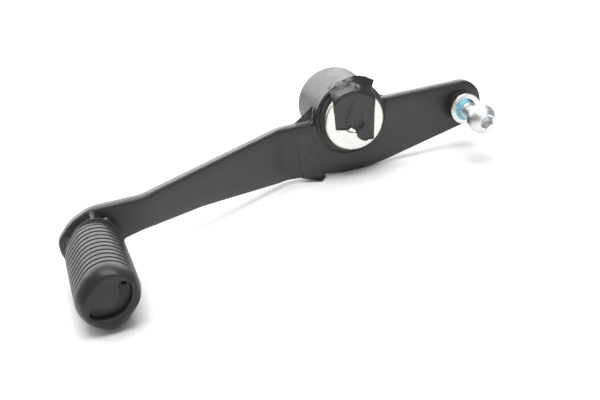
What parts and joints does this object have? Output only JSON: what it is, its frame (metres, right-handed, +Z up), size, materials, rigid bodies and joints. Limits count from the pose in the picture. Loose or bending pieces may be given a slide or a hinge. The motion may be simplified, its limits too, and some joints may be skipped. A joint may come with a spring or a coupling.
{
  "type": "motorcycle gear shift lever",
  "caption": "Foot gear shift lever for a motorcycle: bent steel arm, pivot tube on a bushed flanged collar, ribbed rubber toe peg and a ball stud for the linkage.",
  "frame": {"origin": "on the pivot axis, at the middle of the arm plate's thickness at the hub", "axes": "+Y along the pivot axis from the rider's side to the motorcycle's frame; +X from the pivot to the ball stud; +Z up, with the lever lying on its lower edge"},
  "size_m": [0.1531, 0.0894, 0.0334],
  "materials": {
    "black_powder_coat": "satin, finely textured black powder coat on steel",
    "zinc_plated_collar": "pale zinc plate, matt, on a turned steel collar",
    "zinc_plated_boss": "bright zinc plate on turned steel",
    "zinc_plated_stud": "bright zinc plate on a polished ball",
    "polymer_bush": "dark moulded bearing polymer",
    "seal_rubber": "matt black nitrile rubber",
    "peg_rubber": "moulded black rubber, satin, with fine ribs",
    "blue_threadlocker": "cured blue threadlocker",
    "black_pvc_tape": "black PVC tape with a soft sheen"
  },
  "bodies": {
    "pivot_core": {"pivot_collar": "zinc_plated_collar", "front_o_ring": "seal_rubber", "rear_o_ring": "seal_rubber"},
    "lever": {"lever_arm": "black_powder_coat", "pivot_tube": "black_powder_coat", "front_hub_weld": "black_powder_coat", "rear_hub_weld": "black_powder_coat", "front_bush": "polymer_bush", "rear_bush": "polymer_bush", "rear_seal": "seal_rubber", "peg_pin": "black_powder_coat", "front_peg_weld": "black_powder_coat", "rear_peg_weld": "black_powder_coat", "peg_rubber": "peg_rubber", "stud_boss": "zinc_plated_boss", "boss_weld": "black_powder_coat", "ball_stud": "zinc_plated_stud", "threadlock_ring": "blue_threadlocker", "pivot_tape": "black_pvc_tape", "arm_tape": "black_pvc_tape"}
  },
  "joints": [
    {"name": "lever_pivot", "type": "hinge", "parent": "pivot_core", "child": "lever", "pos_m": [0, 0, 0], "axis": [0, 1, 0], "range_deg": [0, 16]}
  ]
}
